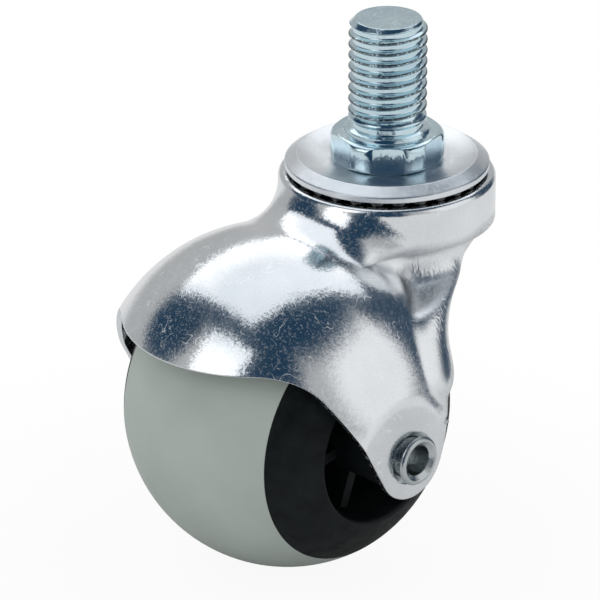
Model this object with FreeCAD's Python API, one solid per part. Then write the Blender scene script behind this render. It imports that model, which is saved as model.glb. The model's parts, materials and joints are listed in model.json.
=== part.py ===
import FreeCAD, Part
import math
import os

# Ball castor with a threaded stem and a deep-drawn hood, in millimetres.
# The origin is the centre of the hexagon's top face and +Z points up the stem.
# The wheel trails towards -X and its axle lies along Y.

# Stem, forged in one piece with its hexagon
STEM_RADIUS = 6.0
STEM_LENGTH = 18.0
STEM_TIP_CHAMFER = 1.0
BEAD_RADIUS = 6.5
BEAD_HEIGHT = 0.8
RELIEF_RADIUS = 5.5
RELIEF_LENGTH = 1.4
HEX_ACROSS_FLATS = 16.0
HEX_HEIGHT = 4.5
HEX_TURNED_RADIUS = 8.7
HEX_TOP_RADIUS = 7.6
HEX_CROWN_HEIGHT = 1.0
HEX_CROWN_BOW = 0.15
HEX_SIDES = 6
HEX_FACING_DEGREES = 45.0
SHANK_RADIUS = 6.0
SPIGOT_RADIUS = 4.5
PEEN_RADIUS = 6.2
PEEN_HEIGHT = 1.4

# Swivel bearing
BEARING_BALL_RADIUS = 1.5
TRACK_CLEARANCE = 0.05
BALL_SPACING = 0.08
UPPER_PITCH_RADIUS = 13.8
LOWER_PITCH_RADIUS = 9.0
LOWER_BALL_DROP = 2.7
RACE_SHEET = 0.9
RACE_BORE_CLEARANCE = 0.05
UPPER_RACE_RADIUS = 15.65
UPPER_RACE_RIM = 0.9
UPPER_RACE_RIDGE_RISE = 0.75
UPPER_RACE_RIM_DROP = 0.35
UPPER_RACE_SEAT_RADIUS = 9.0
UPPER_RACE_DISH_SAG = 0.28
UPPER_RACE_EDGE = 0.15
LOWER_RACE_FLANGE_DROP = 0.4

# Wheel: a ball with its sides cut back to a ribbed hub
WHEEL_RADIUS = 25.0
WHEEL_TRAIL = 21.4
WHEEL_DROP = 39.1
TREAD_HALF_WIDTH = 15.25
TREAD_SEAT_RADIUS = 17.5
TREAD_BOND_GAP = 0.04
RECESS_RADIUS = 12.1
RECESS_DRAFT = 0.9
HUB_FACE_DROP = 1.0
RECESS_LIP = 0.6
RECESS_LIP_BOW = 0.12
HUB_FACE_CROWN = 0.55
HUB_WEB_HALF = 2.0
BOSS_RADIUS = 5.6
BOSS_INSET = 0.1
RIB_COUNT = 6
RIB_THICKNESS = 1.6
RIB_SETBACK = 4.5
RIB_FIRST_DEGREES = 20.0
AXLE_RUNNING_CLEARANCE = 0.05

# Hood, drawn from one sheet
HOOD_SHEET = 1.0
HOOD_WHEEL_GAP = 2.0
HOOD_EAR_GAP = 0.7
EAR_FLAT_BLEND = 5.0
COLLAR_RADIUS = 16.65
COLLAR_HEIGHT = 7.25
COLLAR_RIM_GAP = 0.8
LEDGE_WIDTH = 1.2
LAND_END_DEGREES = 150.0
FRONT_BLEND = 7.0
VALLEY_BLEND = 2.5
DOME_FORWARD = 2.2
DOME_RISE = 0.8
RIM_HEIGHT = 16.35
RIM_DIP_DEGREES = 4.0
RIM_CORNER_RADIUS = 7.0
EAR_END_RADIUS = 6.5
EAR_FRONT_LEAN_DEGREES = 29.0
EAR_REAR_LEAN_DEGREES = 20.0
EAR_REAR_RISE = 7.9
ARCH_SHOULDER_BACK = 13.7
ARCH_SHOULDER_RISE = 9.2
ARCH_SKIRT = 3.5
# Length of the neck inside the collar, counted in sheets
NECK_ROOT = 1.5
# First station of the neck: drop under the collar, forward shift and narrowing of its half length
NECK_THROAT_DROP = 3.1
NECK_THROAT_SHIFT = 2.1
NECK_THROAT_NARROWING = 3.55
# Further stations: rise over the axle, place behind it, half length and inset from the ears' faces
NECK_STATIONS = (
    (20.4, 15.2, 12.9, 8.7),
    (18.2, 9.8, 14.25, 5.5),
    (13.5, 6.8, 13.1, 2.3),
    (8.0, 7.0, 12.2, 0.7),
    (3.1, 8.4, 11.55, 0.15),
)
# Points that guide each station's curve
NECK_CURVE_POINTS = 16

# Axle: semi-tubular rivet
RIVET_RADIUS = 3.1
RIVET_BORE_RADIUS = 2.35
RIVET_BORE_DEPTH = 7.0
RIVET_RIM_RADIUS = 3.85
RIVET_STAND = 1.7
RIVET_NECK = 0.5
RIVET_LIP_BOW = 0.15
RIVET_HEAD_RADIUS = 5.4
RIVET_HEAD_HEIGHT = 1.6
EAR_HOLE_CLEARANCE = 0.05
EAR_HOLE_SINK = 1.0

# Heights that follow from the sizes above
SEAT_Z = -HEX_HEIGHT
RIDGE_Z = SEAT_Z + UPPER_RACE_RIDGE_RISE
TRACK_RADIUS = BEARING_BALL_RADIUS + TRACK_CLEARANCE
UPPER_BALL_Z = RIDGE_Z - RACE_SHEET - TRACK_RADIUS
LOWER_BALL_Z = UPPER_BALL_Z - LOWER_BALL_DROP
UPPER_RIM_Z = SEAT_Z - UPPER_RACE_RIM_DROP - UPPER_RACE_RIM
COLLAR_TOP_Z = UPPER_RIM_Z - COLLAR_RIM_GAP
COLLAR_FOOT_Z = COLLAR_TOP_Z - COLLAR_HEIGHT
SHOULDER_Z = LOWER_BALL_Z - LOWER_RACE_FLANGE_DROP
WHEEL_CENTRE = FreeCAD.Vector(-WHEEL_TRAIL, 0, -WHEEL_DROP)
BOSS_HALF_LENGTH = WHEEL_RADIUS - BOSS_INSET
RECESS_MOUTH = math.sqrt(WHEEL_RADIUS ** 2 - (RECESS_RADIUS + RECESS_LIP) ** 2) - HUB_FACE_DROP
DOME_RADIUS = WHEEL_RADIUS + HOOD_WHEEL_GAP + HOOD_SHEET
EAR_HALF_WIDTH = BOSS_HALF_LENGTH + HOOD_EAR_GAP + HOOD_SHEET
DOME_CENTRE = WHEEL_CENTRE + FreeCAD.Vector(-DOME_FORWARD, 0, DOME_RISE)
FAR = 4 * WHEEL_RADIUS
SAME_PLACE = HOOD_SHEET / 100

X_AXIS = FreeCAD.Vector(1, 0, 0)
Y_AXIS = FreeCAD.Vector(0, 1, 0)
Z_AXIS = FreeCAD.Vector(0, 0, 1)
ORIGIN = FreeCAD.Vector(0, 0, 0)


def upright(radius, height):
    """A point of a section that turns about the swivel axis."""
    return FreeCAD.Vector(radius, 0, height)


def polar(radius, degrees, height):
    """A point at an angle about the swivel axis."""
    angle = math.radians(degrees)
    return FreeCAD.Vector(radius * math.cos(angle), radius * math.sin(angle), height)


def on_axle(radius, along):
    """A point of a section that turns about the wheel's axle."""
    return WHEEL_CENTRE + FreeCAD.Vector(0, along, radius)


def beside_wheel(forward, rise):
    """A point of the side view, measured from the wheel's centre."""
    return WHEEL_CENTRE + FreeCAD.Vector(forward, 0, rise)


def around(centre, radius, degrees):
    """A point at an angle on a circle in the XZ plane."""
    angle = math.radians(degrees)
    return centre + FreeCAD.Vector(radius * math.cos(angle), 0, radius * math.sin(angle))


def line(start, end):
    return Part.LineSegment(start, end).toShape()


def arc(start, middle, end):
    return Part.Arc(start, middle, end).toShape()


def bowed(start, end, bow):
    """An arc whose middle stands off the straight line by the bow."""
    return arc(start, (start + end) * 0.5 + bow, end)


def polyline(points):
    return [line(a, b) for a, b in zip(points, points[1:])]


def revolved(edges, centre, axis):
    face = Part.Face(Part.Wire(Part.__sortEdges__(edges)))
    solid = face.revolve(centre, axis, 360)
    return outward(solid)


def outward(solid):
    """The same solid with its faces turned outwards."""
    if solid.Volume < 0:
        solid.reverse()
    return solid


def cap_middle(radius, height):
    """Radius and height of the point half-way up a round cap."""
    ball = (radius ** 2 + height ** 2) / (2 * height)
    half_angle = math.asin(radius / ball) / 2
    return ball * math.sin(half_angle), height - ball * (1 - math.cos(half_angle))


def write(name, shape):
    shape.exportStep(os.path.join("parts", name + ".step"))


def make_stem():
    thread_start = BEAD_HEIGHT + RELIEF_LENGTH
    peen_z = SHOULDER_Z - RACE_SHEET
    peen_low = peen_z - PEEN_HEIGHT
    outline = polyline([
        upright(0, STEM_LENGTH),
        upright(STEM_RADIUS - STEM_TIP_CHAMFER, STEM_LENGTH),
        upright(STEM_RADIUS, STEM_LENGTH - STEM_TIP_CHAMFER),
        upright(STEM_RADIUS, thread_start),
        upright(RELIEF_RADIUS, thread_start - (STEM_RADIUS - RELIEF_RADIUS)),
        upright(RELIEF_RADIUS, BEAD_HEIGHT),
        upright(BEAD_RADIUS, BEAD_HEIGHT / 2),
        upright(BEAD_RADIUS, 0),
        upright(SHANK_RADIUS, 0),
        upright(SHANK_RADIUS, SHOULDER_Z),
        upright(SPIGOT_RADIUS, SHOULDER_Z),
        upright(SPIGOT_RADIUS, peen_z),
        upright(PEEN_RADIUS, peen_z),
        upright(PEEN_RADIUS, peen_z - PEEN_HEIGHT / 2),
    ])
    cap_radius, cap_height = cap_middle(PEEN_RADIUS, PEEN_HEIGHT / 2)
    shoulder = upright(PEEN_RADIUS, peen_z - PEEN_HEIGHT / 2)
    cap_point = upright(cap_radius, shoulder.z - cap_height)
    outline.append(arc(shoulder, cap_point, upright(0, peen_low)))
    outline.append(line(upright(0, peen_low), upright(0, STEM_LENGTH)))
    turned = revolved(outline, ORIGIN, Z_AXIS)
    return turned.fuse(make_hexagon()).removeSplitter()


def make_hexagon():
    corner_radius = HEX_ACROSS_FLATS / math.sqrt(3)
    corners = []
    for step in range(HEX_SIDES + 1):
        degrees = HEX_FACING_DEGREES + (step + 0.5) * 360 / HEX_SIDES
        corners.append(polar(corner_radius, degrees, SEAT_Z))
    prism = Part.Face(Part.makePolygon(corners)).extrude(Z_AXIS * HEX_HEIGHT)
    top = upright(HEX_TOP_RADIUS, 0)
    crown = upright(HEX_TURNED_RADIUS, -HEX_CROWN_HEIGHT)
    foot_crown = upright(HEX_TURNED_RADIUS, SEAT_Z + HEX_CROWN_HEIGHT)
    foot = upright(HEX_TOP_RADIUS, SEAT_Z)
    outline = [
        bowed(top, crown, upright(HEX_CROWN_BOW, HEX_CROWN_BOW)),
        line(crown, foot_crown),
        bowed(foot_crown, foot, upright(HEX_CROWN_BOW, -HEX_CROWN_BOW)),
    ]
    outline += polyline([foot, upright(0, SEAT_Z), ORIGIN, top])
    return prism.common(revolved(outline, ORIGIN, Z_AXIS))


def make_upper_race():
    bore = SHANK_RADIUS + RACE_BORE_CLEARANCE
    ball = upright(UPPER_PITCH_RADIUS, UPPER_BALL_Z)
    under = SEAT_Z - RACE_SHEET
    rim_top = UPPER_RIM_Z + UPPER_RACE_RIM
    outer_reach = math.sqrt(TRACK_RADIUS ** 2 - (UPPER_RIM_Z - UPPER_BALL_Z) ** 2)
    inner_reach = math.sqrt(TRACK_RADIUS ** 2 - (under - UPPER_BALL_Z) ** 2)
    seat_edge = upright(UPPER_RACE_SEAT_RADIUS, SEAT_Z)
    ridge = upright(UPPER_PITCH_RADIUS, RIDGE_Z)
    track_outer = upright(UPPER_PITCH_RADIUS + outer_reach, UPPER_RIM_Z)
    track_inner = upright(UPPER_PITCH_RADIUS - inner_reach, under)
    outline = [bowed(seat_edge, ridge, -Z_AXIS * UPPER_RACE_DISH_SAG)]
    outline += polyline([
        ridge,
        upright(UPPER_RACE_RADIUS - UPPER_RACE_EDGE, rim_top),
        upright(UPPER_RACE_RADIUS, rim_top - UPPER_RACE_EDGE),
        upright(UPPER_RACE_RADIUS, UPPER_RIM_Z),
        track_outer,
    ])
    outline.append(arc(track_outer, ball + Z_AXIS * TRACK_RADIUS, track_inner))
    outline += polyline([track_inner, upright(bore, under), upright(bore, SEAT_Z), seat_edge])
    return revolved(outline, ORIGIN, Z_AXIS)


def make_lower_race():
    bore = SPIGOT_RADIUS + RACE_BORE_CLEARANCE
    ball = upright(LOWER_PITCH_RADIUS, LOWER_BALL_Z)
    outside = TRACK_RADIUS + RACE_SHEET
    under = SHOULDER_Z - RACE_SHEET
    track_reach = math.sqrt(TRACK_RADIUS ** 2 - LOWER_RACE_FLANGE_DROP ** 2)
    outer_reach = math.sqrt(outside ** 2 - LOWER_RACE_FLANGE_DROP ** 2)
    foot_reach = math.sqrt(outside ** 2 - (under - LOWER_BALL_Z) ** 2)
    track_inner = upright(LOWER_PITCH_RADIUS - track_reach, SHOULDER_Z)
    track_outer = upright(LOWER_PITCH_RADIUS + track_reach, SHOULDER_Z)
    cup_outer = upright(LOWER_PITCH_RADIUS + outer_reach, SHOULDER_Z)
    cup_inner = upright(LOWER_PITCH_RADIUS - foot_reach, under)
    outline = [
        arc(track_inner, ball - Z_AXIS * TRACK_RADIUS, track_outer),
        line(track_outer, cup_outer),
        arc(cup_outer, ball - Z_AXIS * outside, cup_inner),
    ]
    outline += polyline([cup_inner, upright(bore, under), upright(bore, SHOULDER_Z), track_inner])
    return revolved(outline, ORIGIN, Z_AXIS)


def make_balls(pitch_radius, height):
    """A full ring of bearing balls, the first one on the +X side."""
    step = 2 * math.asin((2 * BEARING_BALL_RADIUS + BALL_SPACING) / (2 * pitch_radius))
    count = int(2 * math.pi / step)
    balls = []
    for index in range(count):
        centre = polar(pitch_radius, 360 * index / count, height)
        balls.append(Part.makeSphere(BEARING_BALL_RADIUS, centre))
    return balls


def track_lean():
    """Direction, in degrees, in which the sheet between the two ball tracks faces."""
    between = FreeCAD.Vector(UPPER_PITCH_RADIUS - LOWER_PITCH_RADIUS, 0, LOWER_BALL_DROP)
    lean = math.degrees(math.atan2(between.z, between.x))
    return lean + math.degrees(math.acos((2 * TRACK_RADIUS + HOOD_SHEET) / between.Length))


def track_section(upper_radius, lower_radius, start):
    """One face of the hood's double ball track, from its start in the upper track to the hole."""
    upper = upright(UPPER_PITCH_RADIUS, UPPER_BALL_Z)
    lower = upright(LOWER_PITCH_RADIUS, LOWER_BALL_Z)
    facing = track_lean()
    upper_end = around(upper, upper_radius, facing + 180)
    lower_start = around(lower, lower_radius, facing)
    return [
        arc(start, around(upper, upper_radius, 270), upper_end),
        line(upper_end, lower_start),
        arc(lower_start, around(lower, lower_radius, 90), around(lower, lower_radius, LAND_END_DEGREES)),
    ]


def make_column():
    """The collar as a solid column, with the rolled rim and the ball track on its top."""
    rim_reach = math.sqrt(TRACK_RADIUS ** 2 - (COLLAR_TOP_Z - UPPER_BALL_Z) ** 2)
    rim_inner = upright(UPPER_PITCH_RADIUS + rim_reach, COLLAR_TOP_Z)
    rim_centre = upright(COLLAR_RADIUS - HOOD_SHEET, COLLAR_TOP_Z - HOOD_SHEET)
    rim_outer = around(rim_centre, HOOD_SHEET, 0)
    rim_top = around(rim_centre, HOOD_SHEET, 90)
    lower = upright(LOWER_PITCH_RADIUS, LOWER_BALL_Z)
    land_end = around(lower, TRACK_RADIUS + HOOD_SHEET, LAND_END_DEGREES)
    outline = track_section(TRACK_RADIUS, TRACK_RADIUS + HOOD_SHEET, rim_inner)
    outline += polyline([
        land_end,
        upright(0, land_end.z),
        upright(0, -FAR),
        upright(COLLAR_RADIUS, -FAR),
        rim_outer,
    ])
    outline += [arc(rim_outer, around(rim_centre, HOOD_SHEET, 45), rim_top), line(rim_top, rim_inner)]
    return revolved(outline, ORIGIN, Z_AXIS)


def make_collar_void():
    """The space inside the collar, under the ball track and through its hole."""
    outside = TRACK_RADIUS + HOOD_SHEET
    wall = COLLAR_RADIUS - HOOD_SHEET
    lower = upright(LOWER_PITCH_RADIUS, LOWER_BALL_Z)
    wall_top = upright(wall, UPPER_BALL_Z - math.sqrt(outside ** 2 - (wall - UPPER_PITCH_RADIUS) ** 2))
    land_under = around(lower, TRACK_RADIUS, LAND_END_DEGREES)
    land_end = around(lower, outside, LAND_END_DEGREES)
    outline = track_section(outside, TRACK_RADIUS, wall_top)
    outline += polyline([
        land_under,
        land_end,
        upright(land_end.x, 0),
        ORIGIN,
        upright(0, COLLAR_FOOT_Z + HOOD_SHEET),
        upright(wall, COLLAR_FOOT_Z + HOOD_SHEET),
        wall_top,
    ])
    return revolved(outline, ORIGIN, Z_AXIS)


def in_dome(radius, along):
    """A point of the dome's section, measured from the dome's centre."""
    return DOME_CENTRE + FreeCAD.Vector(0, along, radius)


def make_dome(radius, half_width, blend):
    """A ball with a flat on each side, the form that the bill and ears share."""
    flat_radius = math.sqrt((radius - blend) ** 2 - (half_width - blend) ** 2)
    turn = math.atan2(half_width - blend, flat_radius)
    ends = {}
    outline = []
    for side in (-1, 1):
        flat = in_dome(-flat_radius, side * half_width)
        centre = in_dome(-flat_radius, side * (half_width - blend))
        half_way = (turn + math.pi / 2) / 2
        middle = centre + FreeCAD.Vector(0, side * math.sin(half_way), -math.cos(half_way)) * blend
        ends[side] = centre + FreeCAD.Vector(0, side * math.sin(turn), -math.cos(turn)) * blend
        outline += [line(in_dome(0, side * half_width), flat), arc(flat, middle, ends[side])]
    outline.append(arc(ends[-1], in_dome(-radius, 0), ends[1]))
    outline.append(line(in_dome(0, -half_width), in_dome(0, half_width)))
    return revolved(outline, DOME_CENTRE, Y_AXIS)


def make_neck(inset):
    """The funnel from the collar down to the ears' rear edges, drawn in by the inset all round."""
    top_radius = COLLAR_RADIUS - LEDGE_WIDTH - inset
    foot = upright(0, COLLAR_FOOT_Z)
    throat = upright(-NECK_THROAT_SHIFT, COLLAR_FOOT_Z - NECK_THROAT_DROP)
    wires = [
        ellipse(foot + Z_AXIS * (NECK_ROOT * HOOD_SHEET), top_radius, top_radius),
        ellipse(foot, top_radius, top_radius),
        ellipse(throat, top_radius - NECK_THROAT_NARROWING, top_radius),
    ]
    for rise, behind, half_length, side_inset in NECK_STATIONS:
        half_width = EAR_HALF_WIDTH - side_inset - inset
        wires.append(ellipse(beside_wheel(behind, rise), half_length - inset, half_width))
    return outward(Part.makeLoft(wires, True, False))


def ellipse(centre, half_length, half_width):
    """A level closed curve that starts on its -X side."""
    sweep = []
    for step in range(NECK_CURVE_POINTS):
        angle = 2 * math.pi * step / NECK_CURVE_POINTS
        place = FreeCAD.Vector(-half_length * math.cos(angle), half_width * math.sin(angle), 0)
        sweep.append(centre + place)
    curve = Part.BSplineCurve()
    curve.interpolate(Points=sweep, PeriodicFlag=True)
    return Part.Wire([curve.toShape()])


def make_trim():
    """What is cut away below the hood's edge, seen from the side."""
    lean = math.radians(EAR_FRONT_LEAN_DEGREES)
    dip = math.radians(RIM_DIP_DEGREES)
    up_front = FreeCAD.Vector(-math.sin(lean), 0, math.cos(lean))
    along_rim = FreeCAD.Vector(-math.cos(dip), 0, -math.sin(dip))
    ear_front = around(WHEEL_CENTRE, EAR_END_RADIUS, 180 + EAR_FRONT_LEAN_DEGREES)
    climb = (RIM_HEIGHT - (ear_front.z - WHEEL_CENTRE.z)) / up_front.z
    corner = ear_front + up_front * climb
    half_turn = (math.pi / 2 - lean + dip) / 2
    reach = RIM_CORNER_RADIUS * math.tan(half_turn)
    corner_start = corner - up_front * reach
    corner_end = corner + along_rim * reach
    inward = FreeCAD.Vector(-math.cos(lean), 0, -math.sin(lean))
    corner_centre = corner_start + inward * RIM_CORNER_RADIUS
    towards_corner = corner - corner_centre
    corner_middle = corner_centre + towards_corner * (RIM_CORNER_RADIUS / towards_corner.Length)
    ear_rear = around(WHEEL_CENTRE, EAR_END_RADIUS, -EAR_REAR_LEAN_DEGREES)
    rear_climb = EAR_REAR_RISE - (ear_rear.z - WHEEL_CENTRE.z)
    rear_spread = rear_climb * math.tan(math.radians(EAR_REAR_LEAN_DEGREES))
    rear_top = ear_rear + FreeCAD.Vector(rear_spread, 0, rear_climb)
    arch_middle = rear_top + FreeCAD.Vector(ARCH_SHOULDER_BACK, 0, ARCH_SHOULDER_RISE)
    arch_end = upright(COLLAR_RADIUS - LEDGE_WIDTH, COLLAR_FOOT_Z - ARCH_SKIRT)
    front_end = corner_end + along_rim * FAR
    edges = [
        line(front_end, corner_end),
        arc(corner_end, corner_middle, corner_start),
        line(corner_start, ear_front),
        arc(ear_front, around(WHEEL_CENTRE, EAR_END_RADIUS, 270), ear_rear),
        line(ear_rear, rear_top),
        arc(rear_top, arch_middle, arch_end),
    ]
    edges += polyline([
        arch_end,
        arch_end + X_AXIS * FAR,
        arch_end + X_AXIS * FAR - Z_AXIS * FAR,
        front_end - Z_AXIS * FAR,
        front_end,
    ])
    face = Part.Face(Part.Wire(Part.__sortEdges__(edges)))
    face.translate(-Y_AXIS * FAR)
    return face.extrude(Y_AXIS * 2 * FAR)


def make_hood():
    dome = make_dome(DOME_RADIUS, EAR_HALF_WIDTH, EAR_FLAT_BLEND)
    inside = make_dome(DOME_RADIUS - HOOD_SHEET, EAR_HALF_WIDTH - HOOD_SHEET, EAR_FLAT_BLEND)
    joined = dome.fuse(make_neck(0))
    valley = max(filter(on_dome, joined.Edges), key=lambda edge: edge.Length)
    hood = joined.makeFillet(VALLEY_BLEND, [valley]).fuse(make_shoulder())
    for tool in (inside, make_neck(HOOD_SHEET), make_collar_void(), make_trim(), *make_ear_holes()):
        hood = hood.cut(tool)
    return hood.removeSplitter()


def make_shoulder():
    """The collar wall with the hollow blend that runs down from it onto the front of the dome."""
    ball = Part.makeSphere(DOME_RADIUS)
    ball.rotate(ORIGIN, X_AXIS, 90)
    ball.translate(DOME_CENTRE)
    joined = ball.fuse(make_column())
    seam = [edge for edge in joined.Edges if on_dome(edge) and on_collar(edge)]
    blended = joined.makeFillet(FRONT_BLEND, seam)
    keep = Part.makeBox(2 * FAR, 2 * FAR, -COLLAR_FOOT_Z, FreeCAD.Vector(-FAR, -FAR, COLLAR_FOOT_Z))
    return blended.common(keep)


def edge_middle(edge):
    return edge.valueAt((edge.FirstParameter + edge.LastParameter) / 2)


def on_dome(edge):
    """Whether an edge lies on the dome's outside."""
    return abs((edge_middle(edge) - DOME_CENTRE).Length - DOME_RADIUS) < SAME_PLACE


def on_collar(edge):
    """Whether an edge lies on the collar's wall."""
    middle = edge_middle(edge)
    return abs(math.hypot(middle.x, middle.y) - COLLAR_RADIUS) < SAME_PLACE


def make_ear_holes():
    """A hole in each ear that opens out towards the outside."""
    bore = RIVET_RADIUS + EAR_HOLE_CLEARANCE
    holes = []
    for side in (-1, 1):
        outwards = Y_AXIS * side
        start = on_axle(0, side * (EAR_HALF_WIDTH - HOOD_SHEET))
        holes.append(Part.makeCone(bore, bore + EAR_HOLE_SINK, HOOD_SHEET, start, outwards))
        holes.append(Part.makeCylinder(bore, 2 * HOOD_SHEET, start - outwards * HOOD_SHEET, outwards))
    return holes


def make_rivet():
    ear = EAR_HALF_WIDTH
    mouth = -ear - RIVET_STAND
    neck_end = -ear - RIVET_NECK
    roll = (RIVET_STAND - RIVET_NECK) / 2
    head_top = ear + RIVET_HEAD_HEIGHT
    outline = polyline([
        on_axle(0, head_top),
        on_axle(0, mouth + RIVET_BORE_DEPTH + RIVET_BORE_RADIUS / 2),
        on_axle(RIVET_BORE_RADIUS, mouth + RIVET_BORE_DEPTH),
        on_axle(RIVET_BORE_RADIUS, mouth + roll),
        on_axle((RIVET_BORE_RADIUS + RIVET_RIM_RADIUS) / 2, mouth),
    ])
    lip_top = on_axle((RIVET_BORE_RADIUS + RIVET_RIM_RADIUS) / 2, mouth)
    rim_middle = on_axle(RIVET_RIM_RADIUS, mouth + roll)
    outline.append(bowed(lip_top, rim_middle, FreeCAD.Vector(0, -RIVET_LIP_BOW, RIVET_LIP_BOW)))
    outline += polyline([
        rim_middle,
        on_axle(RIVET_RADIUS, neck_end),
        on_axle(RIVET_RADIUS, ear),
        on_axle(RIVET_HEAD_RADIUS, ear),
    ])
    cap_radius, cap_height = cap_middle(RIVET_HEAD_RADIUS, RIVET_HEAD_HEIGHT)
    head_edge = on_axle(RIVET_HEAD_RADIUS, ear)
    outline.append(arc(head_edge, on_axle(cap_radius, ear + cap_height), on_axle(0, head_top)))
    return revolved(outline, WHEEL_CENTRE, Y_AXIS)


def make_wheel_core():
    edge_radius = math.sqrt(WHEEL_RADIUS ** 2 - TREAD_HALF_WIDTH ** 2)
    bore = RIVET_RADIUS + AXLE_RUNNING_CLEARANCE
    lip_radius = RECESS_RADIUS + RECESS_LIP
    outline = [
        line(on_axle(bore, -BOSS_HALF_LENGTH), on_axle(bore, BOSS_HALF_LENGTH)),
        line(on_axle(TREAD_SEAT_RADIUS, -TREAD_HALF_WIDTH), on_axle(TREAD_SEAT_RADIUS, TREAD_HALF_WIDTH)),
    ]
    for side in (-1, 1):
        seat = on_axle(TREAD_SEAT_RADIUS, side * TREAD_HALF_WIDTH)
        rim = on_axle(edge_radius, side * TREAD_HALF_WIDTH)
        lip = on_axle(lip_radius, side * RECESS_MOUTH)
        mouth = on_axle(RECESS_RADIUS, side * (RECESS_MOUTH - RECESS_LIP))
        lip_bow = FreeCAD.Vector(0, side * RECESS_LIP_BOW, -RECESS_LIP_BOW)
        face_slope = FreeCAD.Vector(0, side * (edge_radius - lip_radius), RECESS_MOUTH - TREAD_HALF_WIDTH)
        outline += polyline([
            on_axle(bore, side * BOSS_HALF_LENGTH),
            on_axle(BOSS_RADIUS, side * BOSS_HALF_LENGTH),
            on_axle(BOSS_RADIUS, side * HUB_WEB_HALF),
            on_axle(RECESS_RADIUS - RECESS_DRAFT, side * HUB_WEB_HALF),
            mouth,
        ])
        outline.append(bowed(mouth, lip, lip_bow))
        outline.append(bowed(lip, rim, face_slope.normalize() * HUB_FACE_CROWN))
        outline.append(line(rim, seat))
    core = revolved(outline, WHEEL_CENTRE, Y_AXIS)
    return core.fuse(make_ribs()).removeSplitter()


def make_ribs():
    """Radial ribs in both recesses, from the boss to the recess wall."""
    reach = RECESS_RADIUS - BOSS_RADIUS
    width = 2 * (RECESS_MOUTH - RIB_SETBACK)
    ribs = []
    for index in range(RIB_COUNT):
        corner = on_axle(BOSS_RADIUS - RIB_THICKNESS / 2, -width / 2) - X_AXIS * (RIB_THICKNESS / 2)
        rib = Part.makeBox(RIB_THICKNESS, width, reach, corner)
        rib.rotate(WHEEL_CENTRE, Y_AXIS, RIB_FIRST_DEGREES + 360 * index / RIB_COUNT)
        ribs.append(rib)
    return ribs


def make_tread():
    half = TREAD_HALF_WIDTH - TREAD_BOND_GAP
    side_radius = math.sqrt(WHEEL_RADIUS ** 2 - half ** 2)
    seat = TREAD_SEAT_RADIUS + TREAD_BOND_GAP
    near = on_axle(side_radius, -half)
    far = on_axle(side_radius, half)
    outline = [arc(near, on_axle(WHEEL_RADIUS, 0), far)]
    outline += polyline([far, on_axle(seat, half), on_axle(seat, -half), near])
    return revolved(outline, WHEEL_CENTRE, Y_AXIS)


os.makedirs("parts", exist_ok=True)
write("stem", make_stem())
write("upper_race", make_upper_race())
write("lower_race", make_lower_race())
write("hood", make_hood())
write("axle_rivet", make_rivet())
write("wheel_core", make_wheel_core())
write("tread", make_tread())
for number, ball in enumerate(make_balls(UPPER_PITCH_RADIUS, UPPER_BALL_Z), start=1):
    write(f"upper_ball_{number:02d}", ball)
for number, ball in enumerate(make_balls(LOWER_PITCH_RADIUS, LOWER_BALL_Z), start=1):
    write(f"lower_ball_{number:02d}", ball)
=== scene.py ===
import json
import math

import bmesh
import bpy
from mathutils import Euler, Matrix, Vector


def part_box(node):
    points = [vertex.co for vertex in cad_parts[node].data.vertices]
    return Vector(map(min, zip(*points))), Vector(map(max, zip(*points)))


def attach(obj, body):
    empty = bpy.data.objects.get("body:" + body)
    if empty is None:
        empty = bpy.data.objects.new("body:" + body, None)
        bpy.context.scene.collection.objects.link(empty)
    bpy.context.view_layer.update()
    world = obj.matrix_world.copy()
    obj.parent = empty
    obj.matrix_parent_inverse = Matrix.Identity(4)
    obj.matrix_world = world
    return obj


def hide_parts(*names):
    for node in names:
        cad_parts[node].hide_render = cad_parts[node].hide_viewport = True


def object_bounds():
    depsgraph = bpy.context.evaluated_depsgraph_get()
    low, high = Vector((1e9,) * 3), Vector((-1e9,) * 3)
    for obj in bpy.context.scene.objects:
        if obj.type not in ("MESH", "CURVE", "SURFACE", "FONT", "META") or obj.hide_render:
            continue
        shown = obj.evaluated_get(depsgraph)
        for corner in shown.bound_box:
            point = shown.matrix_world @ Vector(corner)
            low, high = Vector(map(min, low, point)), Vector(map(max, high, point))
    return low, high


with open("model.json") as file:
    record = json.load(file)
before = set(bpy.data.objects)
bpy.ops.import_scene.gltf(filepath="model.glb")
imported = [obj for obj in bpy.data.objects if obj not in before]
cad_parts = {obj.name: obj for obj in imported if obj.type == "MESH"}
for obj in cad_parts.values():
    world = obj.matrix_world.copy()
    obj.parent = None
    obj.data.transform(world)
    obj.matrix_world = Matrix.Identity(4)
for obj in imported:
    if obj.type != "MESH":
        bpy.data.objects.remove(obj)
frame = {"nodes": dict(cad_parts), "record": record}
cad_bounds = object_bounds()

MM = 0.001
WHITE = (1.0, 1.0, 1.0, 1.0)

# Stem, in metres; its radius and its two ends come from the frame
STEM_RADIUS = frame["record"]["mounts"][0]["dims"]["r_mm"] * MM
STEM_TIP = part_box("stem")[1].z
STEM_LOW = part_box("stem")[0].z
TIP_CHAMFER = 1.0 * MM
RELIEF_RADIUS = 5.5 * MM
RELIEF_FLARE = 0.05 * MM
RELIEF_FOOT = 1.0 * MM
BEAD_RADIUS = 6.5 * MM
BEAD_FOOT = -0.3 * MM
# Points of the bead from its top down: inset from its radius, and height
BEAD_POINTS = ((0.45 * MM, 0.76 * MM), (0.12 * MM, 0.56 * MM), (0.0, 0.28 * MM))
SHANK_RADIUS = 6.0 * MM
SHOULDER = -9.3 * MM
SPIGOT_RADIUS = 4.5 * MM
PEEN_TOP = -10.2 * MM
PEEN_RADIUS = 6.2 * MM
# Points of the peened foot from its rim down: share of its radius, and share of its height
PEEN_POINTS = ((1.0, 0.50), (0.75, 0.78), (0.40, 0.95))
WELD_GAP = 0.002 * MM
SHARP_ANGLE = math.radians(32)

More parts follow.
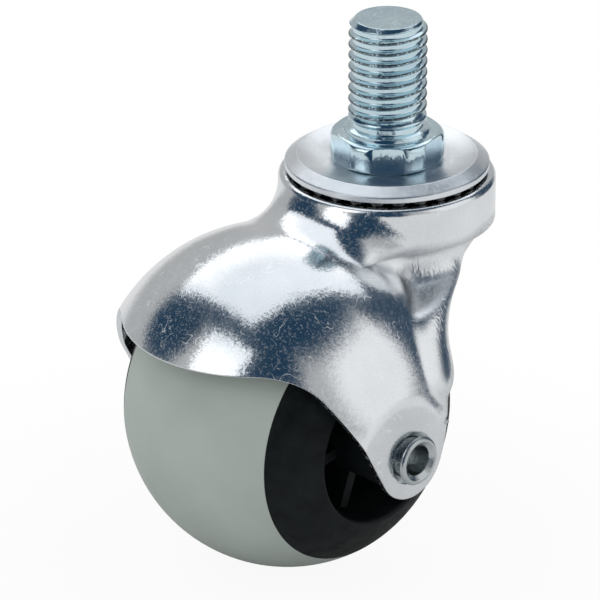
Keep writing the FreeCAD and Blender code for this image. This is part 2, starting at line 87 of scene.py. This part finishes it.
# Thread
THREAD_PITCH = 1.75 * MM
THREAD_DEPTH = 0.75 * MM
THREAD_START = 2.3 * MM
THREAD_FADE = 1.0 * MM
THREAD_STEPS = 120
THREAD_ROWS = 20
# Shares of half a pitch where the crest ends and where the groove's floor begins
RIDGE_CREST = 0.06
RIDGE_FOOT = 0.62

# Hexagon with turned crowns
HEX_FOOT = -4.5 * MM
HEX_HALF_FLATS = 8.0 * MM
HEX_TURNED_RADIUS = 8.7 * MM
HEX_TOP_RADIUS = 7.6 * MM
HEX_CROWN = 1.0 * MM
HEX_FACING = math.radians(45)
HEX_SIDES = 6
HEX_FLAT_STEPS = 12
HEX_CORNER_STEPS = 4
HEX_CROWN_STEPS = 6

# Plated and polished metal
CLOUD_SIZE = 9 * MM
GLOSS_SIZE = 5 * MM
PEEL_SIZE = 1.6 * MM
EDGE_WEAR = 0.2 * MM
CRYSTAL_SIZE = 0.35 * MM
BEVEL_SAMPLES = 6
CREST_COLOUR = (0.13, 0.16, 0.17, 1.0)
# Depths under the stem's radius where the colour of the crests starts and where it is full
CREST_START = 0.30 * MM
CREST_FULL = 0.10 * MM
CREST_SPECK_SIZE = 0.35 * MM

# Zinc plate on the hood, where it differs
HOOD_LIGHT = (0.815, 0.84, 0.865, 1.0)
HOOD_SHADE = (0.72, 0.755, 0.78, 1.0)
SCRATCH_COLOUR = (0.90, 0.92, 0.94, 1.0)
PIT_COLOUR = (0.20, 0.23, 0.26, 1.0)
PIT_SPACING = 2.4 * MM
# Reach of a pit from the middle of its cell, as shares of the cell where it is full and where it ends
PIT_REACH = (0.06, 0.096)
# Levels of a cell's own colour between which it is chosen
PIT_CHOICE = (0.55, 0.60)
DULL_CHOICE = (0.66, 0.78)
SCRATCH_ROUGHNESS = 0.15
SCRATCH_DULLNESS = 0.40
CRYSTAL_DULLNESS = 0.12
DULL_CRYSTAL_SIZE = 0.24 * MM
HOOD_CRYSTAL_SIZE = 0.20 * MM
HOOD_CRYSTAL_TILT = 0.022
HOOD_PEEL = 0.010 * MM
HOOD_EDGE_WEAR = 0.25 * MM
NECK_EDGE_WEAR = 2.5 * MM
DRAW_SIZE = 0.5 * MM
DRAW_DEPTH = 0.12 * MM
DRAW_STRETCH = (1, 1, 0.05)
# Places on the hood where one look begins and where it is full, along X or Z
EAR_Z = (-37 * MM, -40 * MM)
DRAW_X = (-14 * MM, -9 * MM)
DRAW_Z = (-14 * MM, -17 * MM)
NECK_X = (-20 * MM, -14 * MM)
NECK_TOP_Z = (-10.5 * MM, -12.5 * MM)
NECK_FOOT_Z = (-37 * MM, -32 * MM)

# Plastic and rubber
PLASTIC_LIGHT = (0.009, 0.013, 0.014, 1.0)
PLASTIC_SHADE = (0.003, 0.005, 0.006, 1.0)
PLASTIC_SPECULAR = 0.16
RUBBER_LIGHT = (0.43, 0.49, 0.455, 1.0)
RUBBER_SHADE = (0.38, 0.43, 0.40, 1.0)
RUBBER_SPECULAR = 0.3

# Camera: its place, the point it looks at and its lens
VIEW_AZIMUTH = math.radians(-45.33)
VIEW_ELEVATION = math.radians(24.70)
VIEW_TARGET = Vector((-8.19, 0.0, -29.25)) * MM
VIEW_DISTANCE = 702.0 * MM
VIEW_LENS = 274.2
VIEW_ASIDE = -7.466 * MM
VIEW_RAISE = 2.873 * MM
VIEW_END = 100

# Floor, and the shares of its radius between which it fades to white
FLOOR_RADIUS = 0.100
FLOOR_STEPS = 128
FLOOR_PAINT = 0.65
FLOOR_WHITE = 0.93
FLOOR_FADE = (0.3, 0.95)

# Lamps
KEY_CORNER = Vector((-0.27, -0.02, 0.60))
KEY_TURN = math.radians(-8)
KEY_WIDTH = 1.0
KEY_DEPTH = 0.97
KEY_POWER = 3.0
FILL_PLACE = Vector((-0.75, 0.05, 0.60))
FILL_SIZE = 0.55
FILL_POWER = 1.0

# Studio that the metal mirrors; an edge is where a card begins and where it is full
WALL_LEVEL = 0.48
LOW_LEVEL = 0.80
PANEL_LEVEL = 0.95
AMBIENT_LEVEL = 0.74
SHADE_COLOUR = (0.016, 0.048, 0.090, 1.0)
UP = (0.0, 0.0, 1.0)
HORIZON_EDGE = (0.05, -0.12)
SHADE_FOOT = (-0.32, -0.22)
CEILING_EDGE = (math.cos(math.radians(50)), math.cos(math.radians(30)))
PANEL_DIRECTION = (0.457, -0.791, 0.407)
PANEL_EDGE = (math.cos(math.radians(36)), math.cos(math.radians(20)))
SIDE_SHADE_DIRECTION = (-0.380, 0.714, 0.588)
SIDE_SHADE_EDGE = (math.cos(math.radians(25)), math.cos(math.radians(16)))
FRONT_SHADE_BEARING = (-0.79, -0.62, 0.0)
FRONT_SHADE_EDGE = (math.cos(math.radians(33)), math.cos(math.radians(20)))
GAP_BEARING = (0.985, -0.174, 0.0)
GAP_EDGE = (math.cos(math.radians(26)), math.cos(math.radians(11)))
GAP_SHARE = 0.95

# Sockets of a Mix node that mixes colours
MIX_SHARE = 0
MIX_FIRST = 6
MIX_SECOND = 7
MIX_RESULT = 2


def smooth_step(low, high, value):
    """0 below the low value and 1 above the high one, with a smooth way between."""
    share = min(1.0, max(0.0, (value - low) / (high - low)))
    return share * share * (3 - 2 * share)


def around(radius, angle, height):
    """A point at a radius and an angle about Z."""
    return radius * math.cos(angle), radius * math.sin(angle), height


def add_object(name, data):
    """Adds an object to the scene."""
    piece = bpy.data.objects.new(name, data)
    bpy.context.scene.collection.objects.link(piece)
    return piece


def lathe(shape, outline, steps):
    """Adds a surface turned about Z from its outline; a radius of 0 is a point on the axis."""
    rings = []
    for radius, height in outline:
        if radius == 0:
            rings.append([shape.verts.new((0, 0, height))] * steps)
        else:
            angles = [2 * math.pi * step / steps for step in range(steps)]
            rings.append([shape.verts.new(around(radius, angle, height)) for angle in angles])
    join_rings(shape, rings)


def join_rings(shape, rings):
    """Adds faces between closed rings of as many points; a ring may be one point repeated."""
    for upper, lower in zip(rings, rings[1:]):
        for step in range(len(upper)):
            after = (step + 1) % len(upper)
            corners = []
            for corner in (upper[step], lower[step], lower[after], upper[after]):
                if corner not in corners:
                    corners.append(corner)
            if len(corners) > 2:
                shape.faces.new(corners)


def thread_radius(angle, height):
    """Radius of the threaded stem's surface at an angle and a height."""
    phase = (height / THREAD_PITCH - angle / (2 * math.pi)) % 1.0
    off_ridge = abs(phase - 0.5) * 2
    groove = smooth_step(RIDGE_CREST, RIDGE_FOOT, off_ridge)
    start = smooth_step(THREAD_START, THREAD_START + THREAD_FADE, height)
    chamfer = max(0.0, height - (STEM_TIP - TIP_CHAMFER))
    return min(STEM_RADIUS - THREAD_DEPTH * groove * start, STEM_RADIUS - chamfer)


def add_thread(shape):
    """Adds the threaded length, in rows of points that climb with the thread."""
    turns = int((STEM_TIP - THREAD_START) / THREAD_PITCH) + 2
    rows = []
    for row in range(-THREAD_ROWS, turns * THREAD_ROWS + 1):
        points = []
        for step in range(THREAD_STEPS):
            turn = step / THREAD_STEPS
            climb = THREAD_START + THREAD_PITCH * (row / THREAD_ROWS + turn)
            height = min(STEM_TIP, max(THREAD_START, climb))
            angle = 2 * math.pi * turn
            points.append(shape.verts.new(around(thread_radius(angle, height), angle, height)))
        rows.append(points)
    for row in range(len(rows) - 1):
        for step in range(THREAD_STEPS):
            after = (step + 1) % THREAD_STEPS
            row_after = row if after else row + THREAD_ROWS
            if row_after + 1 < len(rows):
                shape.faces.new((rows[row][step], rows[row_after][after],
                                 rows[row_after + 1][after], rows[row + 1][step]))


def add_tip(shape):
    """Adds the flat face at the stem's tip."""
    centre = shape.verts.new((0, 0, STEM_TIP))
    ring = []
    for step in range(THREAD_STEPS):
        angle = 2 * math.pi * step / THREAD_STEPS
        ring.append(shape.verts.new(around(thread_radius(angle, STEM_TIP), angle, STEM_TIP)))
    for step in range(THREAD_STEPS):
        shape.faces.new((centre, ring[step], ring[(step + 1) % THREAD_STEPS]))


def shank_outline():
    """Outline of the stem from the thread's lower end to the peened foot."""
    outline = [
        (STEM_RADIUS, THREAD_START),
        (RELIEF_RADIUS, THREAD_START - (STEM_RADIUS - RELIEF_RADIUS)),
        (RELIEF_RADIUS + RELIEF_FLARE, RELIEF_FOOT),
    ]
    outline += [(BEAD_RADIUS - inset, height) for inset, height in BEAD_POINTS]
    outline += [
        (BEAD_RADIUS, BEAD_FOOT),
        (SHANK_RADIUS, BEAD_FOOT),
        (SHANK_RADIUS, SHOULDER),
        (SPIGOT_RADIUS, SHOULDER),
        (SPIGOT_RADIUS, PEEN_TOP),
        (PEEN_RADIUS, PEEN_TOP),
    ]
    fall = STEM_LOW - PEEN_TOP
    outline += [(PEEN_RADIUS * reach, PEEN_TOP + fall * share) for reach, share in PEEN_POINTS]
    outline.append((0, STEM_LOW))
    return outline


def crown_point(share):
    """A point of the hexagon's turned crown: its radius and its depth under the top face."""
    turn = share * math.pi / 2
    reach = HEX_TURNED_RADIUS - HEX_TOP_RADIUS
    return HEX_TOP_RADIUS + reach * math.sin(turn), HEX_CROWN * (1 - math.cos(turn))


def crown_share(radius):
    """How far round the crown a radius lies."""
    reach = HEX_TURNED_RADIUS - HEX_TOP_RADIUS
    return math.asin(min(1.0, (radius - HEX_TOP_RADIUS) / reach)) / (math.pi / 2)


def hexagon_column(aside):
    """Radii and heights down the hexagon's side, at an angle from the middle of a flat."""
    side_radius = min(HEX_TURNED_RADIUS, HEX_HALF_FLATS / math.cos(aside))
    end = crown_share(side_radius)
    column = []
    for step in range(HEX_CROWN_STEPS + 1):
        radius, depth = crown_point(end * step / HEX_CROWN_STEPS)
        column.append((radius, -depth))
    foot = [(radius, HEX_FOOT - height) for radius, height in reversed(column)]
    return column + foot


def add_hexagon(shape):
    """Adds the hexagon with turned crowns at its top and foot."""
    half_flat = math.acos(HEX_HALF_FLATS / HEX_TURNED_RADIUS)
    half_side = math.pi / HEX_SIDES
    asides = [-half_flat + 2 * half_flat * step / HEX_FLAT_STEPS for step in range(HEX_FLAT_STEPS)]
    corner = 2 * (half_side - half_flat)
    asides += [half_flat + corner * step / HEX_CORNER_STEPS for step in range(HEX_CORNER_STEPS)]
    columns = []
    for side in range(HEX_SIDES):
        middle = HEX_FACING + 2 * half_side * side
        for aside in asides:
            near = aside if aside <= half_side else aside - 2 * half_side
            columns.append((middle + aside, hexagon_column(near)))
    rings = [[shape.verts.new((0, 0, 0))] * len(columns)]
    for row in range(len(columns[0][1])):
        ring = []
        for angle, column in columns:
            radius, height = column[row]
            ring.append(shape.verts.new(around(radius, angle, height)))
        rings.append(ring)
    rings.append([shape.verts.new((0, 0, HEX_FOOT))] * len(columns))
    join_rings(shape, rings)


def make_stem():
    """The stem with its rolled thread, bead and peened foot, and the hexagon round it."""
    shape = bmesh.new()
    add_thread(shape)
    add_tip(shape)
    lathe(shape, shank_outline(), THREAD_STEPS)
    bmesh.ops.remove_doubles(shape, verts=shape.verts, dist=WELD_GAP)
    add_hexagon(shape)
    bmesh.ops.recalc_face_normals(shape, faces=shape.faces)
    mesh = bpy.data.meshes.new("stem_threaded")
    shape.to_mesh(mesh)
    shape.free()
    mesh.shade_smooth()
    mesh.set_sharp_from_angle(angle=SHARP_ANGLE)
    return add_object("stem_threaded", mesh)


def empty_tree(owner):
    """The node tree of a material or a world, with no nodes in it."""
    owner.use_nodes = True
    owner.node_tree.nodes.clear()
    return owner.node_tree


def new_material(name):
    """A material with one Principled shader; returns it with its node tree and shader."""
    material = bpy.data.materials.new(name)
    tree = empty_tree(material)
    output = tree.nodes.new("ShaderNodeOutputMaterial")
    shader = tree.nodes.new("ShaderNodeBsdfPrincipled")
    tree.links.new(shader.outputs["BSDF"], output.inputs["Surface"])
    return material, tree, shader


def feed(tree, socket, value):
    """Gives a socket a plain value, or links it to another socket."""
    if isinstance(value, bpy.types.NodeSocket):
        tree.links.new(value, socket)
    else:
        socket.default_value = value


def grey(level):
    """An opaque grey."""
    return (level, level, level, 1.0)


def maths(tree, operation, first, second):
    """Two values joined by an operation; each is a socket or a number."""
    node = tree.nodes.new("ShaderNodeMath")
    node.operation = operation
    feed(tree, node.inputs[0], first)
    feed(tree, node.inputs[1], second)
    return node.outputs["Value"]


def product(tree, first, *others):
    """The product of several values."""
    result = first
    for other in others:
        result = maths(tree, "MULTIPLY", result, other)
    return result


def vector_node(tree, operation, first, second=None):
    """A node that works on one vector or two; each is a socket or a plain vector."""
    node = tree.nodes.new("ShaderNodeVectorMath")
    node.operation = operation
    feed(tree, node.inputs[0], first)
    if second is not None:
        feed(tree, node.inputs[1], second)
    return node


def vector_maths(tree, operation, first, second=None):
    """The vector that an operation on one vector or two gives."""
    return vector_node(tree, operation, first, second).outputs["Vector"]


def map_range(tree, value, edges, levels=(0.0, 1.0), smooth=False):
    """Carries a value from the range between two edges to the range between two levels."""
    node = tree.nodes.new("ShaderNodeMapRange")
    if smooth:
        node.interpolation_type = "SMOOTHSTEP"
    node.inputs["From Min"].default_value = edges[0]
    node.inputs["From Max"].default_value = edges[1]
    node.inputs["To Min"].default_value = levels[0]
    node.inputs["To Max"].default_value = levels[1]
    tree.links.new(value, node.inputs["Value"])
    return node.outputs["Result"]


def ramp(tree, value, stops):
    """Colours along a value."""
    node = tree.nodes.new("ShaderNodeValToRGB")
    elements = node.color_ramp.elements
    while len(elements) < len(stops):
        elements.new(0.5)
    for element, (place, colour) in zip(elements, stops):
        element.position = place
        element.color = colour
    tree.links.new(value, node.inputs["Fac"])
    return node.outputs["Color"]


def blend_colours(tree, share, first, second):
    """The first colour where the share is 0, the second where it is 1."""
    node = tree.nodes.new("ShaderNodeMix")
    node.data_type = "RGBA"
    feed(tree, node.inputs[MIX_SHARE], share)
    feed(tree, node.inputs[MIX_FIRST], first)
    feed(tree, node.inputs[MIX_SECOND], second)
    return node.outputs[MIX_RESULT]


def blend_shaders(tree, share, first, second):
    """The first shader where the share is 0, the second where it is 1."""
    node = tree.nodes.new("ShaderNodeMixShader")
    tree.links.new(share, node.inputs["Fac"])
    tree.links.new(first, node.inputs[1])
    tree.links.new(second, node.inputs[2])
    return node.outputs["Shader"]


def object_place(tree, stretch=(1, 1, 1)):
    """The surface's own place, in metres, stretched along the axes."""
    coordinates = tree.nodes.new("ShaderNodeTexCoord")
    mapping = tree.nodes.new("ShaderNodeMapping")
    mapping.inputs["Scale"].default_value = stretch
    tree.links.new(coordinates.outputs["Object"], mapping.inputs["Vector"])
    return mapping.outputs["Vector"]


def along(tree, axis, edges):
    """0 before the first place on an axis of the piece and 1 after the second."""
    split = tree.nodes.new("ShaderNodeSeparateXYZ")
    tree.links.new(object_place(tree), split.inputs["Vector"])
    return map_range(tree, split.outputs[axis], edges)


def noise(tree, size, detail=2.0, stretch=(1, 1, 1)):
    """Cloudy noise whose features are about the given size, in metres."""
    node = tree.nodes.new("ShaderNodeTexNoise")
    node.inputs["Scale"].default_value = 1 / size
    node.inputs["Detail"].default_value = detail
    tree.links.new(object_place(tree, stretch), node.inputs["Vector"])
    return node.outputs["Fac"]


def clouds(tree, size, detail, low, high):
    """Clouds of two colours; low and high each give a level of the noise and its colour."""
    return ramp(tree, noise(tree, size, detail), [low, high])


def patches(tree, size, low, high):
    """Soft patches, 0 outside and 1 inside."""
    return clouds(tree, size, 2.0, (low, grey(0)), (high, grey(1)))


def hairlines(tree, size, width, detail=1.0, stretch=(1, 1, 1)):
    """Thin winding lines, 1 on the line and 0 beside it."""
    level = noise(tree, size, detail, stretch)
    return ramp(tree, level, [(0.5 - width, grey(0)), (0.5, grey(1)), (0.5 + width, grey(0))])


def cells(tree, size):
    """A node that divides the surface into cells of about the given size, each with its own colour."""
    node = tree.nodes.new("ShaderNodeTexVoronoi")
    node.inputs["Scale"].default_value = 1 / size
    tree.links.new(object_place(tree), node.inputs["Vector"])
    return node


def chosen_cells(tree, grid, choice):
    """1 in the cells whose own colour is above the choice, 0 in the others."""
    return ramp(tree, grid.outputs["Color"], [(choice[0], grey(0)), (choice[1], grey(1))])


def dull_crystals(tree):
    """1 on the few crystals that are duller than the rest."""
    return chosen_cells(tree, cells(tree, DULL_CRYSTAL_SIZE), DULL_CHOICE)


def pits(tree):
    """Small round pits in some of the cells, 1 in a pit."""
    grid = cells(tree, PIT_SPACING)
    near = ramp(tree, grid.outputs["Distance"], [(PIT_REACH[0], grey(1)), (PIT_REACH[1], grey(0))])
    return product(tree, near, chosen_cells(tree, grid, PIT_CHOICE))


def worn_edges(tree, radius):
    """The surface's normal, rounded along its edges; the radius is a socket or a number."""
    node = tree.nodes.new("ShaderNodeBevel")
    node.samples = BEVEL_SAMPLES
    feed(tree, node.inputs["Radius"], radius)
    return node.outputs["Normal"]


def bump(tree, height, depth, under=None):
    """The normal of a relief of the given depth, in metres, laid over another normal."""
    node = tree.nodes.new("ShaderNodeBump")
    node.inputs["Strength"].default_value = 1.0
    node.inputs["Distance"].default_value = depth
    tree.links.new(height, node.inputs["Height"])
    if under is not None:
        tree.links.new(under, node.inputs["Normal"])
    return node.outputs["Normal"]


def crystals(tree, normal, size, tilt):
    """Tilts the normal a little from one plating crystal to the next."""
    colours = cells(tree, size).outputs["Color"]
    turned = vector_maths(tree, "MULTIPLY", colours, (2 * tilt, 2 * tilt, 2 * tilt))
    centred = vector_maths(tree, "SUBTRACT", turned, (tilt, tilt, tilt))
    return vector_maths(tree, "NORMALIZE", vector_maths(tree, "ADD", normal, centred))


def thread_crests(tree):
    """1 on the crests of the stem's thread, broken by specks."""
    reach = vector_node(tree, "LENGTH", object_place(tree, (1, 1, 0))).outputs["Value"]
    crest = map_range(tree, reach, (STEM_RADIUS - CREST_START, STEM_RADIUS - CREST_FULL), smooth=True)
    threaded = along(tree, "Z", (THREAD_START + THREAD_FADE / 2, THREAD_START + THREAD_FADE))
    specks = clouds(tree, CREST_SPECK_SIZE, detail=2.0, low=(0.36, grey(0.2)), high=(0.52, grey(1)))
    return product(tree, crest, threaded, specks)


def make_zinc(name, light, shade, gloss, peel_depth, tilt, threaded=False):
    """Bright zinc plate: cloudy tint, uneven gloss, worn edges, orange peel and a fine crystal grain."""
    material, tree, shader = new_material(name)
    tint = clouds(tree, CLOUD_SIZE, detail=4.0, low=(0.32, shade), high=(0.62, light))
    if threaded:
        tint = blend_colours(tree, thread_crests(tree), tint, CREST_COLOUR)
    roughness = clouds(tree, GLOSS_SIZE, detail=5.0, low=(0.3, grey(gloss[0])), high=(0.7, grey(gloss[1])))
    peel = bump(tree, noise(tree, PEEL_SIZE), peel_depth, under=worn_edges(tree, EDGE_WEAR))
    feed(tree, shader.inputs["Metallic"], 1.0)
    feed(tree, shader.inputs["Base Color"], tint)
    feed(tree, shader.inputs["Roughness"], roughness)
    feed(tree, shader.inputs["Normal"], crystals(tree, peel, CRYSTAL_SIZE, tilt))
    return material


def hood_scratches(tree):
    """Curled scratches and short nicks in patches of the hood, 1 on a scratch."""
    curls = hairlines(tree, size=2.2 * MM, width=0.014)
    curled = product(tree, curls, patches(tree, size=3.5 * MM, low=0.53, high=0.60))
    nicks = hairlines(tree, size=1.1 * MM, width=0.015, detail=0.0, stretch=(1, 1, 0.3))
    nicked = product(tree, nicks, patches(tree, size=6 * MM, low=0.60, high=0.68))
    return maths(tree, "MAXIMUM", curled, nicked)


def hood_normal(tree):
    """The hood's normal: edges rounded most at the neck, orange peel, draw marks and crystal grain."""
    neck_height = product(tree, along(tree, "Z", NECK_TOP_Z), along(tree, "Z", NECK_FOOT_Z))
    neck = product(tree, along(tree, "X", NECK_X), neck_height)
    worn = worn_edges(tree, map_range(tree, neck, (0.0, 1.0), (HOOD_EDGE_WEAR, NECK_EDGE_WEAR)))
    peel = bump(tree, noise(tree, PEEL_SIZE), HOOD_PEEL, under=worn)
    marked = product(tree, along(tree, "X", DRAW_X), along(tree, "Z", DRAW_Z))
    streaks = product(tree, noise(tree, DRAW_SIZE, stretch=DRAW_STRETCH), marked)
    drawn = bump(tree, streaks, DRAW_DEPTH, under=peel)
    return crystals(tree, drawn, HOOD_CRYSTAL_SIZE, HOOD_CRYSTAL_TILT)


def make_hood_zinc():
    """Zinc plate on the drawn hood, with scratches, draw marks on its neck and small pits on its ears."""
    material, tree, shader = new_material("hood_zinc")
    scratches = hood_scratches(tree)
    tint = clouds(tree, CLOUD_SIZE, detail=4.0, low=(0.32, HOOD_SHADE), high=(0.62, HOOD_LIGHT))
    pitted = blend_colours(tree, product(tree, pits(tree), along(tree, "Z", EAR_Z)), tint, PIT_COLOUR)
    roughness = clouds(tree, GLOSS_SIZE, detail=5.0, low=(0.3, grey(0.12)), high=(0.7, grey(0.18)))
    rougher = product(tree, scratches, SCRATCH_ROUGHNESS)
    dull_grain = product(tree, dull_crystals(tree), CRYSTAL_DULLNESS)
    dull = maths(tree, "ADD", dull_grain, product(tree, scratches, SCRATCH_DULLNESS))
    feed(tree, shader.inputs["Metallic"], maths(tree, "SUBTRACT", 1.0, dull))
    feed(tree, shader.inputs["Base Color"], blend_colours(tree, scratches, pitted, SCRATCH_COLOUR))
    feed(tree, shader.inputs["Roughness"], maths(tree, "ADD", roughness, rougher))
    feed(tree, shader.inputs["Normal"], hood_normal(tree))
    return material


def make_plastic():
    """Matt black moulded plastic, slightly mottled."""
    material, tree, shader = new_material("hub_plastic")
    tint = clouds(tree, 3 * MM, detail=5.0, low=(0.3, PLASTIC_SHADE), high=(0.75, PLASTIC_LIGHT))
    roughness = clouds(tree, 2 * MM, detail=4.0, low=(0.3, grey(0.45)), high=(0.7, grey(0.62)))
    grain = bump(tree, noise(tree, size=0.5 * MM, detail=3.0), depth=0.02 * MM)
    feed(tree, shader.inputs["Base Color"], tint)
    feed(tree, shader.inputs["Roughness"], roughness)
    feed(tree, shader.inputs["Specular IOR Level"], PLASTIC_SPECULAR)
    feed(tree, shader.inputs["Normal"], grain)
    return material


def make_rubber():
    """Satin grey rubber with faint clouds and a fine moulded grain."""
    material, tree, shader = new_material("tread_rubber")
    tint = clouds(tree, 14 * MM, detail=5.0, low=(0.3, RUBBER_SHADE), high=(0.7, RUBBER_LIGHT))
    roughness = clouds(tree, 4 * MM, detail=4.0, low=(0.3, grey(0.46)), high=(0.7, grey(0.58)))
    grain = bump(tree, noise(tree, size=0.6 * MM, detail=3.0), depth=0.012 * MM)
    feed(tree, shader.inputs["Base Color"], tint)
    feed(tree, shader.inputs["Roughness"], roughness)
    feed(tree, shader.inputs["Specular IOR Level"], RUBBER_SPECULAR)
    feed(tree, shader.inputs["Normal"], grain)
    return material


def dress(name, material):
    """Gives a CAD node its material."""
    mesh = frame["nodes"][name].data
    mesh.materials.clear()
    mesh.materials.append(material)


def facing(tree, direction, level=False):
    """How far the looked-at direction turns towards another one; level leaves its height out."""
    looked_at = tree.nodes.new("ShaderNodeTexCoord").outputs["Generated"]
    if level:
        looked_at = vector_maths(tree, "NORMALIZE", vector_maths(tree, "MULTIPLY", looked_at, (1, 1, 0)))
    return vector_node(tree, "DOT_PRODUCT", looked_at, direction).outputs["Value"]


def card(tree, direction, edge, share=1.0, level=False):
    """0 outside a card of the studio and the share inside, with a soft edge."""
    return map_range(tree, facing(tree, direction, level), edge, (0.0, share), smooth=True)


def mirrored_studio(tree):
    """Colour of the studio that the metal mirrors: pale walls, a bright panel and dark cards."""
    lit_walls = blend_colours(tree, card(tree, UP, HORIZON_EDGE), grey(WALL_LEVEL), grey(LOW_LEVEL))
    walls = blend_colours(tree, card(tree, PANEL_DIRECTION, PANEL_EDGE), lit_walls, grey(PANEL_LEVEL))
    front = card(tree, FRONT_SHADE_BEARING, FRONT_SHADE_EDGE, level=True)
    gap = card(tree, GAP_BEARING, GAP_EDGE, GAP_SHARE, level=True)
    upright = product(tree, maths(tree, "MAXIMUM", front, gap), card(tree, UP, SHADE_FOOT))
    ceiling = card(tree, UP, CEILING_EDGE)
    side = card(tree, SIDE_SHADE_DIRECTION, SIDE_SHADE_EDGE)
    dark = maths(tree, "MAXIMUM", maths(tree, "MAXIMUM", ceiling, side), upright)
    return blend_colours(tree, dark, walls, SHADE_COLOUR)


def background(tree, colour):
    """A background of strength 1; the colour is a socket or a plain colour."""
    node = tree.nodes.new("ShaderNodeBackground")
    feed(tree, node.inputs["Color"], colour)
    return node.outputs["Background"]


def make_world():
    """A plain pale surround; mirrored rays see the studio in its place, and the camera sees white."""
    world = bpy.data.worlds.new("studio")
    bpy.context.scene.world = world
    world.cycles.sampling_method = "NONE"
    tree = empty_tree(world)
    output = tree.nodes.new("ShaderNodeOutputWorld")
    path = tree.nodes.new("ShaderNodeLightPath")
    ambient = background(tree, grey(AMBIENT_LEVEL))
    studio = background(tree, mirrored_studio(tree))
    surround = blend_shaders(tree, path.outputs["Is Glossy Ray"], ambient, studio)
    seen = blend_shaders(tree, path.outputs["Is Camera Ray"], surround, background(tree, WHITE))
    tree.links.new(seen, output.inputs["Surface"])


def make_floor_paint():
    """Pale floor paint; the camera sees it nearly white, and quite white towards the floor's rim."""
    material = bpy.data.materials.new("floor_paint")
    tree = empty_tree(material)
    output = tree.nodes.new("ShaderNodeOutputMaterial")
    paint = tree.nodes.new("ShaderNodeBsdfDiffuse")
    feed(tree, paint.inputs["Color"], grey(FLOOR_PAINT))
    glow = tree.nodes.new("ShaderNodeEmission")
    feed(tree, glow.inputs["Color"], WHITE)
    path = tree.nodes.new("ShaderNodeLightPath")
    reach = vector_node(tree, "LENGTH", object_place(tree)).outputs["Value"]
    fade = [FLOOR_RADIUS * share for share in FLOOR_FADE]
    white = map_range(tree, reach, fade, (FLOOR_WHITE, 1.0), smooth=True)
    share = product(tree, path.outputs["Is Camera Ray"], white)
    seen = blend_shaders(tree, share, paint.outputs["BSDF"], glow.outputs["Emission"])
    tree.links.new(seen, output.inputs["Surface"])
    return material


def make_floor():
    """A round floor under the ball, which keeps the castor's soft shadow."""
    low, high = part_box("tread")
    shape = bmesh.new()
    bmesh.ops.create_circle(shape, cap_ends=True, segments=FLOOR_STEPS, radius=FLOOR_RADIUS)
    mesh = bpy.data.meshes.new("floor")
    shape.to_mesh(mesh)
    shape.free()
    mesh.materials.append(make_floor_paint())
    floor = add_object("floor", mesh)
    floor.location = ((low.x + high.x) / 2, (low.y + high.y) / 2, cad_bounds[0][2])


def add_panel_light(name, place, turn, width, depth, power):
    """A flat rectangular lamp that shines along its own -Z."""
    lamp = bpy.data.lights.new(name, "AREA")
    lamp.shape = "RECTANGLE"
    lamp.size = width
    lamp.size_y = depth
    lamp.energy = power
    panel = add_object(name, lamp)
    panel.location = place
    panel.rotation_euler = turn


def make_lights():
    """A wide soft box over the castor and behind it, and a small one at its left."""
    key_turn = Euler((0, 0, KEY_TURN))
    key_middle = KEY_CORNER + key_turn.to_matrix() @ Vector((KEY_WIDTH / 2, KEY_DEPTH / 2, 0))
    add_panel_light("key", key_middle, key_turn, KEY_WIDTH, KEY_DEPTH, KEY_POWER)
    fill_turn = (VIEW_TARGET - FILL_PLACE).to_track_quat("-Z", "Y").to_euler()
    add_panel_light("fill", FILL_PLACE, fill_turn, FILL_SIZE, FILL_SIZE, FILL_POWER)


def make_camera():
    """The camera, with its aim a little aside of the target."""
    toward = Vector((
        math.sin(VIEW_AZIMUTH) * math.cos(VIEW_ELEVATION),
        -math.cos(VIEW_AZIMUTH) * math.cos(VIEW_ELEVATION),
        math.sin(VIEW_ELEVATION),
    ))
    right = Vector((math.cos(VIEW_AZIMUTH), math.sin(VIEW_AZIMUTH), 0))
    aim = VIEW_TARGET + right * VIEW_ASIDE + toward.cross(right) * VIEW_RAISE
    lens = bpy.data.cameras.new("camera")
    lens.lens = VIEW_LENS
    lens.clip_end = VIEW_END
    camera = add_object("camera", lens)
    camera.location = VIEW_TARGET + toward * VIEW_DISTANCE
    camera.rotation_euler = (aim - camera.location).to_track_quat("-Z", "Y").to_euler()
    bpy.context.scene.camera = camera


blue_zinc = make_zinc("blue_zinc", light=(0.68, 0.83, 0.89, 1), shade=(0.54, 0.71, 0.79, 1),
                      gloss=(0.10, 0.18), peel_depth=0.006 * MM, tilt=0.03, threaded=True)
race_zinc = make_zinc("race_zinc", light=(0.84, 0.88, 0.91, 1), shade=(0.76, 0.80, 0.84, 1),
                      gloss=(0.28, 0.38), peel_depth=0.004 * MM, tilt=0.02)
rivet_steel = make_zinc("rivet_steel", light=(0.62, 0.66, 0.67, 1), shade=(0.46, 0.50, 0.51, 1),
                        gloss=(0.20, 0.34), peel_depth=0.006 * MM, tilt=0.04)
# Balls nearly black: partly grease on the steel, partly painted shade of the dark gap under the upper race
ball_steel = make_zinc("ball_steel", light=(0.10, 0.10, 0.10, 1), shade=(0.06, 0.06, 0.06, 1),
                       gloss=(0.10, 0.22), peel_depth=0.001 * MM, tilt=0.01)
hood_zinc = make_hood_zinc()
plastic = make_plastic()
rubber = make_rubber()

stem = make_stem()
stem.data.materials.append(blue_zinc)
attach(stem, "stem_body")
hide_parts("stem")
dress("upper_race", race_zinc)
dress("lower_race", race_zinc)
dress("hood", hood_zinc)
dress("axle_rivet", rivet_steel)
dress("wheel_core", plastic)
dress("tread", rubber)
for node in frame["nodes"]:
    if node.startswith(("upper_ball_", "lower_ball_")):
        dress(node, ball_steel)

make_world()
make_floor()
make_lights()
make_camera()
bpy.context.scene.view_settings.view_transform = "Standard"
